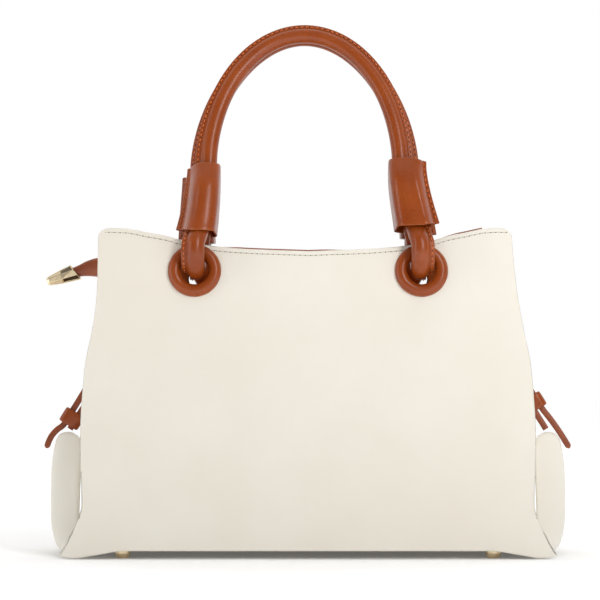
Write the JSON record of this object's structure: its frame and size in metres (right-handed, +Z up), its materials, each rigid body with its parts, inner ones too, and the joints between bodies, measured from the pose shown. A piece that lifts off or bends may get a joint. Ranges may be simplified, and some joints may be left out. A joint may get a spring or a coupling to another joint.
{
  "type": "handbag",
  "caption": "Structured leather handbag with two rolled handles on ringed eyelets, a recessed zip with a tail, tied side tongues and domed metal feet.",
  "frame": {"origin": "on the floor under the middle of the bag, level with the bottoms of the feet", "axes": "+X to the bag's right as seen from the front, +Y from the front panel to the back panel, +Z up"},
  "size_m": [0.3676, 0.13, 0.3683],
  "materials": {
    "cream_leather": "smooth semi-matte",
    "tan_leather": "smooth satin",
    "pale_gold": "polished pale gold plate",
    "lining_cloth": "plain woven cloth",
    "zip_tape": "woven tape",
    "board": "matte board"
  },
  "bodies": {
    "bag": {"front_panel": "cream_leather", "back_panel": "cream_leather", "left_gusset": "cream_leather", "right_gusset": "cream_leather", "base_panel": "cream_leather", "base_board": "board", "base_feet": "pale_gold", "foot_washers": "pale_gold", "lining": "lining_cloth", "front_facing": "tan_leather", "back_facing": "tan_leather", "front_left_ring": "tan_leather", "front_right_ring": "tan_leather", "back_left_ring": "tan_leather", "back_right_ring": "tan_leather", "ring_backs": "tan_leather", "zip_end_tab": "tan_leather", "zip_chain_ends": "pale_gold", "zip_tail": "tan_leather", "zip_tail_cap": "pale_gold", "left_ear": "cream_leather", "right_ear": "cream_leather", "left_lace": "tan_leather", "right_lace": "tan_leather", "left_keeper": "tan_leather", "right_keeper": "tan_leather"},
    "front_handle": {"front_handle": "tan_leather", "front_handle_core": "lining_cloth", "front_left_sleeve": "tan_leather", "front_right_sleeve": "tan_leather"},
    "back_handle": {"back_handle": "tan_leather", "back_handle_core": "lining_cloth", "back_left_sleeve": "tan_leather", "back_right_sleeve": "tan_leather"},
    "front_zip_leaf": {"front_zip_leaf": "tan_leather", "front_zip_tape": "zip_tape", "front_zip_teeth": "pale_gold"},
    "back_zip_leaf": {"back_zip_leaf": "tan_leather", "back_zip_tape": "zip_tape", "back_zip_teeth": "pale_gold"},
    "zip_slider": {"zip_slider": "pale_gold"},
    "zip_pull": {"zip_pull": "pale_gold"},
    "left_bead": {"left_bead": "tan_leather"},
    "right_bead": {"right_bead": "tan_leather"}
  },
  "joints": [
    {"name": "front_handle_swing", "type": "hinge", "parent": "bag", "child": "front_handle", "pos_m": [0, -0.04521, 0.20627], "axis": [1, 0, 0], "range_deg": [0, 105]},
    {"name": "back_handle_swing", "type": "hinge", "parent": "bag", "child": "back_handle", "pos_m": [0, 0.04521, 0.20627], "axis": [-1, 0, 0], "range_deg": [0, 105]},
    {"name": "front_leaf_fold", "type": "hinge", "parent": "bag", "child": "front_zip_leaf", "pos_m": [0, -0.04496, 0.1735], "axis": [-1, 0, 0], "range_deg": [0, 80]},
    {"name": "back_leaf_fold", "type": "hinge", "parent": "bag", "child": "back_zip_leaf", "pos_m": [0, 0.04496, 0.1735], "axis": [1, 0, 0], "range_deg": [0, 80]},
    {"name": "zip_slide", "type": "slide", "parent": "bag", "child": "zip_slider", "axis": [-1, 0, 0], "range_m": [0, 0.22175]},
    {"name": "pull_turn", "type": "hinge", "parent": "zip_slider", "child": "zip_pull", "pos_m": [0.10818, 0, 0.17616], "axis": [0, -1, 0], "range_deg": [0, 140]},
    {"name": "left_bead_slide", "type": "slide", "parent": "bag", "child": "left_bead", "axis": [0.5299, 0, 0.848], "range_m": [0, 0.006]},
    {"name": "right_bead_slide", "type": "slide", "parent": "bag", "child": "right_bead", "axis": [-0.5299, 0, 0.848], "range_m": [0, 0.006]}
  ]
}
